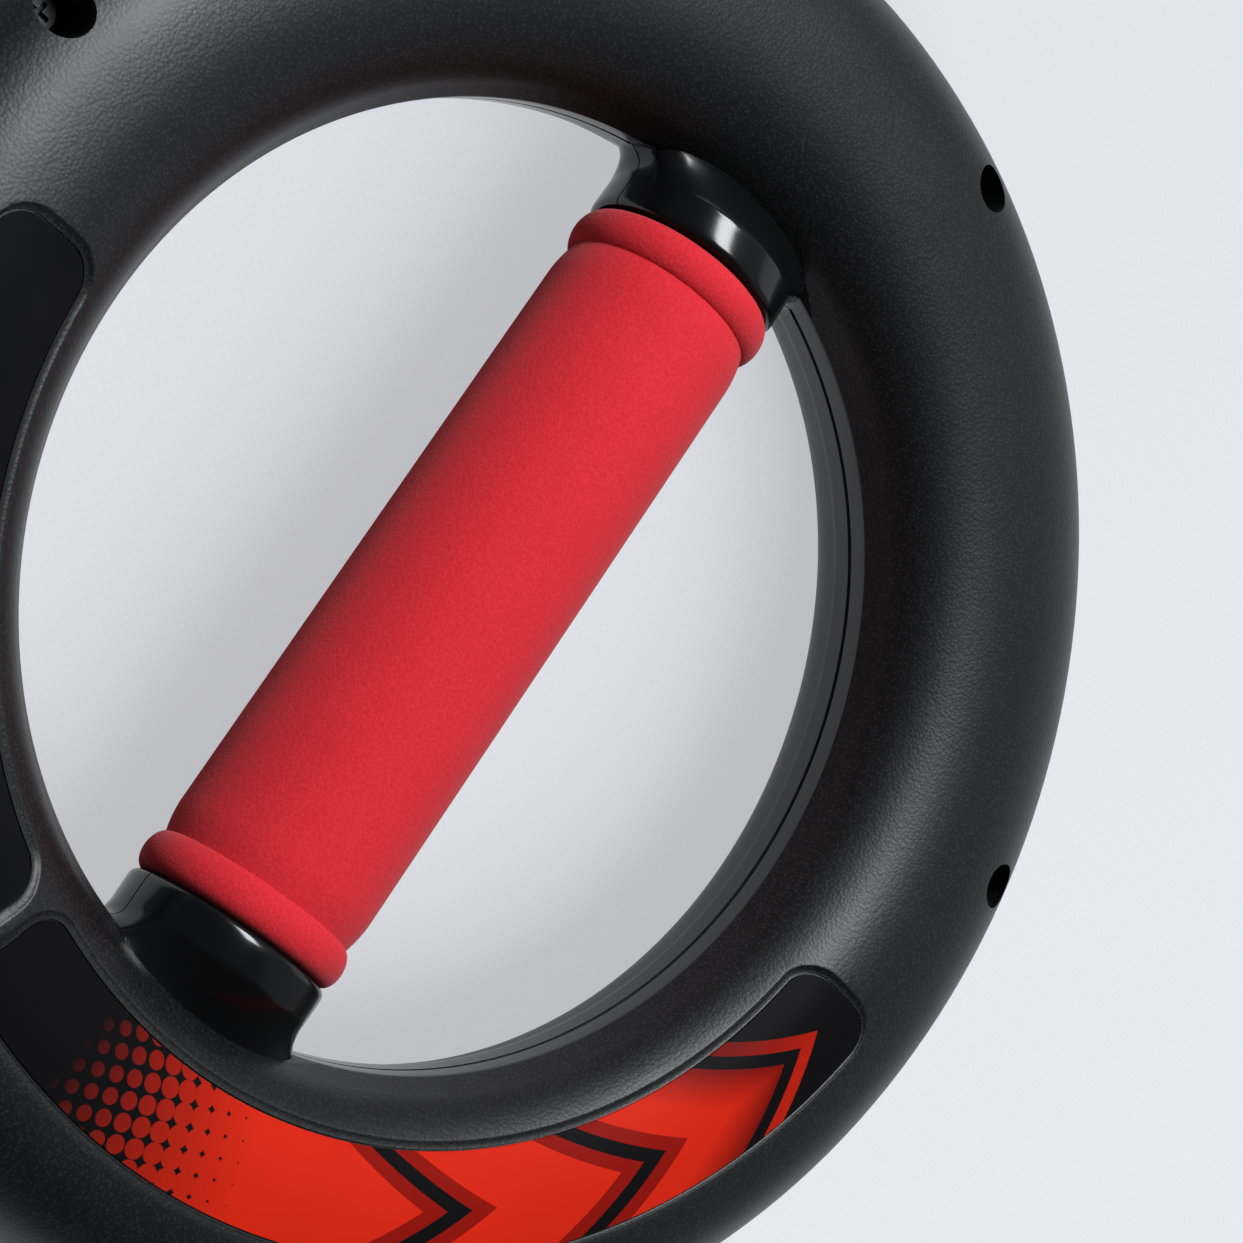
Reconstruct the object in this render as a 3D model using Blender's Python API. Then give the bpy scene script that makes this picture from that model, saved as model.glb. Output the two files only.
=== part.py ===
"""Ring-shaped centrifugal arm trainer: a hollow ring in two halves, a foam handle across it, a ball inside.

Metres, +Z up. The ring lies on its back: its axis is Z, the handle runs along X, and z = 0 is the surface
that it rests on.
"""
import math

import bmesh
import bpy
from mathutils import Matrix, Vector

MM = 0.001

# Ring
RING_OUTER_RADIUS = 125.0 * MM
SECTION_HALF_WIDTH = 23.4 * MM
SECTION_HALF_HEIGHT = 20.5 * MM
SECTION_FULLNESS = 2.3
WALL = 2.6 * MM
PARTING_RISE = 1.5 * MM
PARTING_GAP = 0.3 * MM
REST_FLAT_DEPTH = 0.4 * MM
FLAT_MARGIN = 0.1 * MM

# Fits
SEAT_GAP = 0.3 * MM
BALL_GAP = 0.5 * MM

# Handle
TUBE_RADIUS = 11.0 * MM
TUBE_WALL = 1.5 * MM
GRIP_BODY_RADIUS = 17.7 * MM
GRIP_NECK_RADIUS = 17.15 * MM
GRIP_BEAD_RADIUS = 18.4 * MM
GRIP_BEAD_WIDTH = 6.8 * MM
BEAD_FULLNESS = 0.6
GRIP_TAPER_LENGTH = 10.0 * MM
COLLAR_REACH = 12.6 * MM
COLLAR_LENGTH = 6.2 * MM
COLLAR_RADIUS = 17.9 * MM
COLLAR_EDGE = 1.5 * MM
COLLAR_SLOPE_LENGTH = 8.8 * MM
COLLAR_SLOPE_END_RADIUS = 9.6 * MM
NECK_HALF_WIDTH = 17.4 * MM
NECK_HALF_HEIGHT = 9.0 * MM
PLUG_FLANGE_THICKNESS = 2.2 * MM
PLUG_FLANGE_OVERHANG = 1.8 * MM
PLUG_LENGTH = 14.0 * MM
PLUG_SETBACK = 4.6 * MM

# Screws
SCREW_ANGLES = (16.0, 80.0, 144.0)
SCREW_EDGE_DISTANCE = 10.0 * MM
HEAD_RADIUS = 3.5 * MM
HEAD_HEIGHT = 2.4 * MM
HEAD_EDGE = 0.8 * MM
HEAD_SIDE_PLAY = 0.6 * MM
HEAD_SEAT_HEIGHT = 4.0 * MM
SHANK_RADIUS = 1.6 * MM
SHANK_LENGTH = 15.0 * MM
SHANK_TIP = 2.0 * MM
CROSS_LENGTH = 3.6 * MM
CROSS_WIDTH = 0.8 * MM
CROSS_DEPTH = 1.2 * MM
BOSS_WALL = 1.6 * MM
BOSS_OVERLAP = 1.0 * MM

# Ball race
GUIDE_WALL = 2.0 * MM
BALL_SIDE_PLAY = 1.4 * MM
BALL_REST_ANGLE = -60.0

# Labels
LABEL_SPANS = {"label_left": (93.0, 153.4), "label_lower": (156.0, 261.6)}
LABEL_INSET = 9.0 * MM
LABEL_WIDTH = 17.4 * MM
LABEL_CORNER = 5.5 * MM
CORNER_SHARES = (0.0, 0.08, 0.3, 0.6, 1.0)
LABEL_THICKNESS = 0.5 * MM
POCKET_DEPTH = 1.2 * MM

# Facets
RING_STEPS = 60
SECTION_STEPS = 24
HANDLE_STEPS = 32
SCREW_STEPS = 16
BALL_STEPS = 24
BEAD_STEPS = 8
LABEL_ROWS = 5
SMOOTH_ANGLE = 35.0
BALL_HALVINGS = 40

# Worked out from the sizes above
HOLE_RADIUS = RING_OUTER_RADIUS - 2 * SECTION_HALF_WIDTH
SECTION_RADIUS = RING_OUTER_RADIUS - SECTION_HALF_WIDTH
MID_HEIGHT = SECTION_HALF_HEIGHT - REST_FLAT_DEPTH
PARTING_HEIGHT = MID_HEIGHT + PARTING_RISE
COLLAR_FACE = HOLE_RADIUS - COLLAR_REACH
SCREW_CIRCLE = RING_OUTER_RADIUS - SCREW_EDGE_DISTANCE
COUNTERBORE_RADIUS = HEAD_RADIUS + HEAD_SIDE_PLAY
BOSS_RADIUS = COUNTERBORE_RADIUS + BOSS_WALL
PILOT_RADIUS = SHANK_RADIUS + SEAT_GAP
PILOT_BOSS_RADIUS = PILOT_RADIUS + BOSS_WALL
GUIDE_OUTER_RADIUS = SCREW_CIRCLE - BOSS_RADIUS + BOSS_OVERLAP
GUIDE_INNER_RADIUS = GUIDE_OUTER_RADIUS - GUIDE_WALL
CAVITY_HOLE_RADIUS = HOLE_RADIUS + WALL
BALL_RADIUS = (GUIDE_INNER_RADIUS - CAVITY_HOLE_RADIUS - BALL_SIDE_PLAY) / 2
FAR = 2 * RING_OUTER_RADIUS
OVERCUT = 2 * SECTION_HALF_HEIGHT


def clear_scene():
    for item in list(bpy.data.objects):
        bpy.data.objects.remove(item, do_unlink=True)


def finish(name, colour, roughness, metallic=0.0):
    material = bpy.data.materials.new(name)
    material.use_nodes = True
    shader = material.node_tree.nodes["Principled BSDF"]
    shader.inputs["Base Color"].default_value = (*colour, 1.0)
    shader.inputs["Roughness"].default_value = roughness
    shader.inputs["Metallic"].default_value = metallic
    return material


def add_object(name, mesh_data, material=None):
    mesh = bpy.data.meshes.new(name)
    bmesh.ops.recalc_face_normals(mesh_data, faces=mesh_data.faces)
    mesh_data.to_mesh(mesh)
    mesh_data.free()
    item = bpy.data.objects.new(name, mesh)
    bpy.context.collection.objects.link(item)
    if material is None:
        item.hide_render = True
        item.display_type = "WIRE"
    else:
        mesh.materials.append(material)
        mesh.shade_smooth()
        mesh.set_sharp_from_angle(angle=math.radians(SMOOTH_ANGLE))
    return item


def cut(item, tool, operation="DIFFERENCE"):
    modifier = item.modifiers.new(tool.name, "BOOLEAN")
    modifier.operation = operation
    modifier.solver = "EXACT"
    modifier.object = tool


# Solids of revolution

def turned(outline, steps, mesh_data=None, place=None):
    """Spin a closed (radius, height) outline about Z, then place it. A flat end becomes one face."""
    own = bmesh.new()
    corners = [own.verts.new((radius, 0.0, height)) for radius, height in outline]
    edges = [own.edges.new((corners[i - 1], corners[i])) for i in range(len(corners))]
    poles = [edge for edge in edges if all(abs(v.co.x) < 1e-9 for v in edge.verts)]
    geometry = corners + [edge for edge in edges if edge not in poles]
    bmesh.ops.delete(own, geom=poles, context="EDGES")
    bmesh.ops.spin(own, geom=geometry, cent=(0, 0, 0), axis=(0, 0, 1), angle=math.tau, steps=steps,
                   use_merge=True)
    bmesh.ops.remove_doubles(own, verts=own.verts, dist=1e-7)
    bmesh.ops.recalc_face_normals(own, faces=own.faces)
    flat_ends = [vert for vert in own.verts if vert.co.xy.length < 1e-9 and is_flat(vert)]
    bmesh.ops.dissolve_verts(own, verts=flat_ends)
    if place is not None:
        bmesh.ops.transform(own, matrix=place, verts=own.verts)
    if mesh_data is None:
        return own
    return joined(mesh_data, own)


def is_flat(vert):
    first = vert.link_faces[0].normal
    return all(face.normal.dot(first) > 0.9999 for face in vert.link_faces)


def joined(mesh_data, extra):
    """Add a second mesh to the first one."""
    copies = {vert: mesh_data.verts.new(vert.co) for vert in extra.verts}
    for face in extra.faces:
        mesh_data.faces.new([copies[vert] for vert in face.verts])
    extra.free()
    return mesh_data


def rod_outline(radius, low, high):
    return [(0.0, high), (radius, high), (radius, low), (0.0, low)]


def along_handle(side):
    """Turn Z onto the handle's axis, towards the +X end (side 1) or the -X end (side -1).

    Half a facet's turn keeps the facet edges off the parting plane.
    """
    half_facet = Matrix.Rotation(math.pi / HANDLE_STEPS, 4, "Z")
    return Matrix.Translation((0, 0, MID_HEIGHT)) @ Matrix.Rotation(side * math.pi / 2, 4, "Y") @ half_facet


def at_screw(angle):
    place = Vector((SCREW_CIRCLE, 0, 0))
    place.rotate(Matrix.Rotation(math.radians(angle), 3, "Z"))
    return Matrix.Translation(place)


def screw_angles():
    return [side * angle for angle in SCREW_ANGLES for side in (1, -1)]


# Ring section

def section_height(radius, inset=0.0):
    """Height of the ring's surface above its middle plane, for the section drawn in by inset."""
    share = abs(radius - SECTION_RADIUS) / (SECTION_HALF_WIDTH - inset)
    return (SECTION_HALF_HEIGHT - inset) * max(0.0, 1 - share ** SECTION_FULLNESS) ** (1 / SECTION_FULLNESS)


def flat_half_width(inset):
    """Half the width of the flat cut, where the drawn-in section is as deep as the flat."""
    share = (MID_HEIGHT - inset) / (SECTION_HALF_HEIGHT - inset)
    return (SECTION_HALF_WIDTH - inset) * (1 - share ** SECTION_FULLNESS) ** (1 / SECTION_FULLNESS)


def section_outline(inset=0.0):
    """Closed outline of the ring's section, with the flat that the ring rests on cut off its back."""
    outline = []
    power = 2 / SECTION_FULLNESS
    for step in range(SECTION_STEPS):
        turn = math.tau * step / SECTION_STEPS
        across = math.copysign(abs(math.cos(turn)) ** power, math.cos(turn))
        upward = math.copysign(abs(math.sin(turn)) ** power, math.sin(turn))
        height = MID_HEIGHT + upward * (SECTION_HALF_HEIGHT - inset)
        if height > inset + FLAT_MARGIN:
            outline.append((SECTION_RADIUS + across * (SECTION_HALF_WIDTH - inset), height))
        elif 4 * step == 3 * SECTION_STEPS:
            reach = flat_half_width(inset)
            outline += [(SECTION_RADIUS - reach, inset), (SECTION_RADIUS + reach, inset)]
    return outline


def ring_solid():
    return turned(section_outline(), RING_STEPS)


def channel_outline(wall_radius, outside):
    """The part of the hollow's section on one side of the guide wall's face."""
    outline = section_outline(WALL)
    half = len(outline) // 2
    points = outline[half:] + outline[:half] if outside else outline
    side = 1 if outside else -1
    kept = [point for point in points if side * (point[0] - wall_radius) > SEAT_GAP]
    rise = section_height(wall_radius, WALL)
    top = (wall_radius, MID_HEIGHT + rise)
    bottom = (wall_radius, max(MID_HEIGHT - rise, WALL))
    return [bottom] + kept + [top] if outside else [top] + kept + [bottom]


def ball_channel_tool():
    return add_object("ball_channel", turned(channel_outline(GUIDE_INNER_RADIUS, False), RING_STEPS))


def screw_channel_tool(name, boss_radius):
    """The hollow outside the guide wall, less the six screw bosses that stand in it."""
    hollow = add_object(name, turned(channel_outline(GUIDE_OUTER_RADIUS, True), RING_STEPS))
    bosses = bmesh.new()
    for angle in screw_angles():
        turned(rod_outline(boss_radius, -OVERCUT, OVERCUT), SCREW_STEPS, bosses, at_screw(angle))
    cut(hollow, add_object(name + "_bosses", bosses))
    return hollow


def collar_tool(side):
    """Disc next to the grip, with a sloping back that ends inside the ring's wall."""
    back = COLLAR_FACE + COLLAR_LENGTH
    outline = [
        (0.0, back + COLLAR_SLOPE_LENGTH),
        (COLLAR_SLOPE_END_RADIUS, back + COLLAR_SLOPE_LENGTH),
        (COLLAR_RADIUS, back),
        (COLLAR_RADIUS, COLLAR_FACE + COLLAR_EDGE),
        (COLLAR_RADIUS - COLLAR_EDGE, COLLAR_FACE),
        (0.0, COLLAR_FACE),
    ]
    return add_object(f"collar_tool_{side}", turned(outline, HANDLE_STEPS, place=along_handle(side)))


def neck_tool(side):
    """Flattened neck under a collar's slope, which runs back into the ring."""
    outline = rod_outline(NECK_HALF_WIDTH, COLLAR_FACE + COLLAR_EDGE, SECTION_RADIUS)
    centre = Matrix.Translation((0, 0, MID_HEIGHT))
    flatten = Matrix.Scale(NECK_HALF_HEIGHT / NECK_HALF_WIDTH, 4, (0, 0, 1))
    place = centre @ flatten @ centre.inverted() @ along_handle(side)
    return add_object(f"neck_tool_{side}", turned(outline, HANDLE_STEPS, place=place))


def plug_flange_start():
    """Distance of the plug flange's near face from the ring's axis."""
    return HOLE_RADIUS - PLUG_SETBACK - PLUG_FLANGE_THICKNESS


def socket_tool(side):
    """Bore for the tube's end, widened at its bottom for the plug's flange."""
    bore = TUBE_RADIUS + SEAT_GAP
    groove = TUBE_RADIUS + PLUG_FLANGE_OVERHANG + SEAT_GAP
    near = plug_flange_start() - SEAT_GAP
    far = plug_flange_start() + PLUG_FLANGE_THICKNESS + SEAT_GAP
    outline = [(0.0, far), (groove, far), (groove, near), (bore, near), (bore, 0.0), (0.0, 0.0)]
    return add_object(f"socket_tool_{side}", turned(outline, HANDLE_STEPS, place=along_handle(side)))


def head_seat():
    """Height of the counterbore's floor, which the screw's head sits on."""
    return PARTING_HEIGHT + HEAD_SEAT_HEIGHT


def shank_end():
    return head_seat() + SEAT_GAP - SHANK_LENGTH


def front_screw_tool():
    holes = bmesh.new()
    for angle in screw_angles():
        outline = [
            (0.0, OVERCUT + MID_HEIGHT),
            (COUNTERBORE_RADIUS, OVERCUT + MID_HEIGHT),
            (COUNTERBORE_RADIUS, head_seat()),
            (PILOT_RADIUS, head_seat()),
            (PILOT_RADIUS, -OVERCUT),
            (0.0, -OVERCUT),
        ]
        turned(outline, SCREW_STEPS, holes, at_screw(angle))
    return add_object("front_screw_tool", holes)


def back_screw_tool():
    holes = bmesh.new()
    for angle in screw_angles():
        outline = rod_outline(PILOT_RADIUS, shank_end() - SEAT_GAP, MID_HEIGHT + OVERCUT)
        turned(outline, SCREW_STEPS, holes, at_screw(angle))
    return add_object("back_screw_tool", holes)


def parting_tool(name, low, high):
    """Slab that takes away everything between two heights."""
    slab = bmesh.new()
    bmesh.ops.create_cube(slab, size=1.0)
    bmesh.ops.scale(slab, vec=(2 * FAR, 2 * FAR, high - low), verts=slab.verts)
    bmesh.ops.translate(slab, vec=(0, 0, (low + high) / 2), verts=slab.verts)
    return add_object(name, slab)


# Labels

def label_stations(first, last, margin):
    """Angles across a label with the inner and outer radius at each, rounded at the four corners."""
    inner = HOLE_RADIUS + LABEL_INSET + margin
    outer = HOLE_RADIUS + LABEL_INSET + LABEL_WIDTH - margin
    middle = (inner + outer) / 2
    corner = LABEL_CORNER - margin
    length = math.radians(last - first) * middle
    near_end = [margin + corner * share for share in CORNER_SHARES]
    inside = length - 2 * near_end[-1]
    count = max(2, round(inside / (middle * math.tau / RING_STEPS)))
    along = near_end + [near_end[-1] + inside * step / count for step in range(1, count)]
    along += [length - distance for distance in reversed(near_end)]
    stations = []
    for distance in along:
        end_distance = min(distance, length - distance) - margin
        short = max(0.0, corner - end_distance)
        draw_in = corner - math.sqrt(max(0.0, corner ** 2 - short ** 2))
        stations.append((math.radians(first) + distance / middle, inner + draw_in, outer - draw_in))
    return stations


def label_slab(span, margin, low, high):
    """Closed curved slab that follows the ring's front, from low to high above its surface."""
    slab = bmesh.new()
    layers = []
    for offset in (low, high):
        grid = []
        for angle, inner, outer in label_stations(*span, margin):
            row = []
            for step in range(LABEL_ROWS + 1):
                radius = inner + (outer - inner) * step / LABEL_ROWS
                height = MID_HEIGHT + section_height(radius) + offset
                row.append(slab.verts.new((radius * math.cos(angle), radius * math.sin(angle), height)))
            grid.append(row)
        layers.append(grid)
    rim = []
    for grid in layers:
        for near, far in zip(grid, grid[1:]):
            for step in range(LABEL_ROWS):
                slab.faces.new((near[step], near[step + 1], far[step + 1], far[step]))
        right = [row[-1] for row in grid]
        left = [row[0] for row in grid]
        rim.append(grid[0][:-1] + right[:-1] + grid[-1][:0:-1] + left[:0:-1])
    for step in range(len(rim[0])):
        slab.faces.new((rim[0][step - 1], rim[0][step], rim[1][step], rim[1][step - 1]))
    return slab


def pocket_tool(name):
    return add_object(name + "_pocket", label_slab(LABEL_SPANS[name], 0.0, -POCKET_DEPTH, POCKET_DEPTH))


def build_label(name, material):
    floor = SEAT_GAP - POCKET_DEPTH
    add_object(name, label_slab(LABEL_SPANS[name], SEAT_GAP, floor, floor + LABEL_THICKNESS), material)


# Shells

def build_shells(material):
    collars = [tool(side) for side in (1, -1) for tool in (neck_tool, collar_tool)]
    sockets = [socket_tool(side) for side in (1, -1)]
    ball_channel = ball_channel_tool()
    half_gap = PARTING_GAP / 2
    halves = {
        "front_shell": (BOSS_RADIUS, front_screw_tool(), -FAR, PARTING_HEIGHT + half_gap),
        "back_shell": (PILOT_BOSS_RADIUS, back_screw_tool(), PARTING_HEIGHT - half_gap, FAR),
    }
    for name, (boss_radius, screw_tool, slab_low, slab_high) in halves.items():
        shell = add_object(name, ring_solid(), material)
        for collar in collars:
            cut(shell, collar, "UNION")
        cut(shell, ball_channel)
        cut(shell, screw_channel_tool(name + "_screw_channel", boss_radius))
        for socket in sockets:
            cut(shell, socket)
        cut(shell, screw_tool)
        if name == "front_shell":
            for label in LABEL_SPANS:
                cut(shell, pocket_tool(label))
        cut(shell, parting_tool(name + "_parting", slab_low, slab_high))


# Handle

def bead_points(centre):
    """Round bead at the grip's end, as (radius, distance) points from its inner to its outer side."""
    half = GRIP_BEAD_WIDTH / 2
    root = GRIP_NECK_RADIUS
    points = []
    for step in range(BEAD_STEPS + 1):
        turn = math.pi * step / BEAD_STEPS
        bulge = math.sin(turn) ** BEAD_FULLNESS if 0 < step < BEAD_STEPS else 0.0
        points.append((root + (GRIP_BEAD_RADIUS - root) * bulge, centre - half * math.cos(turn)))
    return points


def build_grip(material):
    end = COLLAR_FACE - SEAT_GAP
    bore = TUBE_RADIUS + SEAT_GAP
    upper = [(GRIP_BODY_RADIUS, 0.0), (GRIP_BODY_RADIUS, end - GRIP_BEAD_WIDTH - GRIP_TAPER_LENGTH)]
    upper += bead_points(end - GRIP_BEAD_WIDTH / 2)
    outline = list(reversed(upper)) + [(radius, -distance) for radius, distance in upper[1:]]
    outline += [(bore, -end), (bore, end)]
    add_object("foam_grip", turned(outline, HANDLE_STEPS, place=along_handle(1)), material)


def build_tube(material):
    end = plug_flange_start() - SEAT_GAP
    inner = TUBE_RADIUS - TUBE_WALL
    outline = [(TUBE_RADIUS, end), (TUBE_RADIUS, -end), (inner, -end), (inner, end)]
    add_object("handle_tube", turned(outline, HANDLE_STEPS, place=along_handle(1)), material)


def build_plugs(material):
    spigot = TUBE_RADIUS - TUBE_WALL - SEAT_GAP
    flange = TUBE_RADIUS + PLUG_FLANGE_OVERHANG
    near = plug_flange_start()
    far = near + PLUG_FLANGE_THICKNESS
    outline = [(0.0, far), (flange, far), (flange, near), (spigot, near), (spigot, near - PLUG_LENGTH),
               (0.0, near - PLUG_LENGTH)]
    for name, side in (("handle_plug_upper", 1), ("handle_plug_lower", -1)):
        add_object(name, turned(outline, HANDLE_STEPS, place=along_handle(side)), material)


# Screws

def cross_tool(name, place):
    """Cross-shaped recess in a screw's head."""
    cross = bmesh.new()
    top = head_seat() + SEAT_GAP + HEAD_HEIGHT
    for turn in (0, math.pi / 2):
        bar = bmesh.new()
        bmesh.ops.create_cube(bar, size=1.0)
        bmesh.ops.scale(bar, vec=(CROSS_LENGTH, CROSS_WIDTH, 2 * CROSS_DEPTH), verts=bar.verts)
        bmesh.ops.transform(bar, matrix=place @ Matrix.Translation((0, 0, top)) @ Matrix.Rotation(turn, 4, "Z"),
                            verts=bar.verts)
        joined(cross, bar)
    return add_object(name, cross)


def build_screws(material):
    seat = head_seat() + SEAT_GAP
    outline = [
        (0.0, seat + HEAD_HEIGHT),
        (HEAD_RADIUS - HEAD_EDGE, seat + HEAD_HEIGHT),
        (HEAD_RADIUS, seat + HEAD_HEIGHT - HEAD_EDGE),
        (HEAD_RADIUS, seat),
        (SHANK_RADIUS, seat),
        (SHANK_RADIUS, shank_end() + SHANK_TIP),
        (0.0, shank_end()),
    ]
    for number, angle in enumerate(screw_angles(), start=1):
        name = f"case_screw_{number}"
        place = at_screw(angle)
        screw = add_object(name, turned(outline, SCREW_STEPS, place=place), material)
        cut(screw, cross_tool(name + "_cross", place))
        screw.modifiers[-1].use_self = True


# Ball

def distance_to_hollow(radius, height):
    """Least distance from a point to the hollow's faceted wall, in the section's plane."""
    outline = section_outline(WALL)
    point = Vector((radius, height))
    nearest = FAR
    for step, end in enumerate(outline):
        start = Vector(outline[step - 1])
        run = Vector(end) - start
        share = min(1.0, max(0.0, (point - start).dot(run) / run.length_squared))
        nearest = min(nearest, (start + run * share - point).length)
    return nearest


def ball_place():
    """The ball leans on the guide wall and lies on the back shell's floor."""
    radius = GUIDE_INNER_RADIUS - BALL_GAP - BALL_RADIUS
    high, low = MID_HEIGHT, 0.0
    for _ in range(BALL_HALVINGS):
        middle = (high + low) / 2
        if distance_to_hollow(radius, middle) > BALL_RADIUS + BALL_GAP:
            high = middle
        else:
            low = middle
    return radius, high


def build_ball(material):
    radius, height = ball_place()
    axis = bpy.data.objects.new("ball_orbit_axis", None)
    axis.location = (0, 0, MID_HEIGHT)
    axis.rotation_euler = (0, 0, math.radians(BALL_REST_ANGLE))
    bpy.context.collection.objects.link(axis)
    sphere = bmesh.new()
    bmesh.ops.create_uvsphere(sphere, u_segments=BALL_STEPS, v_segments=BALL_STEPS // 2, radius=BALL_RADIUS)
    ball = add_object("rolling_ball", sphere, material)
    ball.parent = axis
    ball.location = (radius, 0, height - MID_HEIGHT)


def main():
    clear_scene()
    build_shells(finish("textured_black_plastic", (0.018, 0.018, 0.020), 0.55))
    build_label("label_left", finish("black_print", (0.012, 0.012, 0.013), 0.35))
    build_label("label_lower", finish("orange_red_print", (0.72, 0.035, 0.012), 0.35))
    build_grip(finish("red_foam", (0.62, 0.030, 0.042), 0.9))
    build_tube(finish("steel_tube", (0.55, 0.55, 0.56), 0.35, 1.0))
    build_plugs(finish("black_plug", (0.03, 0.03, 0.03), 0.5))
    build_screws(finish("black_screw", (0.06, 0.06, 0.065), 0.4, 1.0))
    build_ball(finish("polished_steel_ball", (0.7, 0.7, 0.72), 0.12, 1.0))


main()
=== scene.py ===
"""Looks of the ring arm trainer: finer shells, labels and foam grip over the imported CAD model.

Metres, +Z up, in the CAD model's frame: the ring's axis is Z and the handle runs along X.
"""
import math

import bpy
from mathutils import Matrix, Vector


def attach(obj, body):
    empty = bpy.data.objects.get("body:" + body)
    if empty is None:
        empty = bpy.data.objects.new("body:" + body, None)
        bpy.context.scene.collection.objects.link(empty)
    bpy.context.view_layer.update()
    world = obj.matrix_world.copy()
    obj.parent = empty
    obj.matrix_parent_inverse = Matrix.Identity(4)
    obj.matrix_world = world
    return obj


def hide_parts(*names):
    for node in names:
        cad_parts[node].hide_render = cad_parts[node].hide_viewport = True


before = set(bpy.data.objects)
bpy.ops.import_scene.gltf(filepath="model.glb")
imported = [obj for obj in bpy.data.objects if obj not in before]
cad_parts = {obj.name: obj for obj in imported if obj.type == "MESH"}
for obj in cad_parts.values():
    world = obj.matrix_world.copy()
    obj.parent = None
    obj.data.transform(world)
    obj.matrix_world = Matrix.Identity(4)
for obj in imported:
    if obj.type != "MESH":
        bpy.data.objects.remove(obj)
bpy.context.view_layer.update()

MM = 0.001

# Ring, as in the CAD model
RING_RADIUS = 125.0 * MM
SECTION_HALF_WIDTH = 23.4 * MM
SECTION_HALF_HEIGHT = 20.5 * MM
SECTION_FULLNESS = 2.3
WALL = 2.6 * MM
REST_FLAT_DEPTH = 0.4 * MM
SECTION_RADIUS = RING_RADIUS - SECTION_HALF_WIDTH
MID_HEIGHT = SECTION_HALF_HEIGHT - REST_FLAT_DEPTH
PARTING_RISE = 1.5 * MM
PARTING_HEIGHT = MID_HEIGHT + PARTING_RISE
PARTING_GAP = 0.3 * MM
SEAT_GAP = 0.3 * MM
FAR = 2 * RING_RADIUS

# Polished band round the hole, with heights from the ring's middle plane
BAND_RADIUS = 78.0 * MM
BAND_TOP = 5.6 * MM
BAND_BOTTOM = -2.5 * MM
BAND_EDGE = 0.3 * MM
BAND_CHAMFER = 2.4 * MM
POLISH_RADIUS = 78.08 * MM
POLISH_EDGE = 0.05 * MM
SEAM_DEPTH = 0.25 * MM
SEAM_HALF_WIDTH = 0.45 * MM

# Handle collars, with the slope that runs from each rim down to the ring's wall
COLLAR_FACE = 65.6 * MM
COLLAR_BACK = 71.8 * MM
COLLAR_RADIUS = 17.9 * MM
COLLAR_EDGE = 1.5 * MM
RIM_SAG = 0.3 * MM
RIM_ROUNDING = 0.6 * MM
LANDING_HALF_WIDTH = 23.5 * MM
LANDING_HALF_HEIGHT = 10.0 * MM
LANDING_FULLNESS = 2.4
LANDING_SPREAD = 2.1 * MM
LANDING_SINK = 0.15 * MM
FLARE_SINK = 0.5 * MM
TUBE_RADIUS = 11.0 * MM
FLANGE_RADIUS = 12.8 * MM
FLANGE_NEAR = 71.4 * MM
FLANGE_FAR = 73.6 * MM

# Foam grip
GRIP_END = COLLAR_FACE - SEAT_GAP
GRIP_BODY_RADIUS = 17.7 * MM
GRIP_NECK_RADIUS = 16.8 * MM
GRIP_BEAD_RADIUS = 18.4 * MM
GRIP_BEAD_WIDTH = 6.8 * MM
GRIP_TAPER_LENGTH = 6.0 * MM
GRIP_LIP_RADIUS = 15.6 * MM
BEAD_FULLNESS = 0.7
BEAD_INNER_FULLNESS = 1.3

# Screws and the ball's race
SCREW_ANGLES = (16.0, 80.0, 144.0, -16.0, -80.0, -144.0)
SCREW_CIRCLE = 115.0 * MM
COUNTERBORE_RADIUS = 4.1 * MM
PILOT_RADIUS = 1.9 * MM
BOSS_RADIUS = 5.7 * MM
PILOT_BOSS_RADIUS = 3.5 * MM
HEAD_SEAT = PARTING_HEIGHT + 4.0 * MM
PILOT_END = HEAD_SEAT - 15.0 * MM
GUIDE_OUTER_RADIUS = 110.3 * MM
GUIDE_INNER_RADIUS = 108.3 * MM

# Labels
LABEL_SPANS = {"label_left": (93.0, 153.4), "label_lower": (156.0, 261.6)}
LABEL_INNER = 87.2 * MM
LABEL_OUTER = 104.6 * MM
LABEL_CORNER = 5.5 * MM
LABEL_FLOAT = 0.05 * MM
LABEL_THICKNESS = 0.4 * MM
POCKET_DEPTH = 1.2 * MM
POCKET_LIP = 0.3 * MM
POCKET_FLATTENING = 0.5
CHAMFER_WIDTH = 0.9 * MM
LEDGE_WIDTH = 0.45 * MM
LEDGE_RISE = 0.1 * MM
OUTER_LIP_SHARE = 0.3

# Fineness
RING_STEPS = 192
SECTION_STEPS = 72
RACE_STEPS = 60
RACE_SECTION_STEPS = 24
COLLAR_STEPS = 96
SLOPE_STEPS = 10
RIM_STEPS = 5
BEVEL_STEPS = 5
BAND_EDGE_STEPS = 2
GRIP_STEPS = 128
BEAD_STEPS = 20
HOLE_STEPS = 32
LABEL_ROWS = 12
LABEL_STEP = 1.2 * MM
CORNER_STEPS = 10
SMOOTH_ANGLE = 32.0
MERGE_REACH = 1e-7
SLIVER = 0.003 * MM

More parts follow.
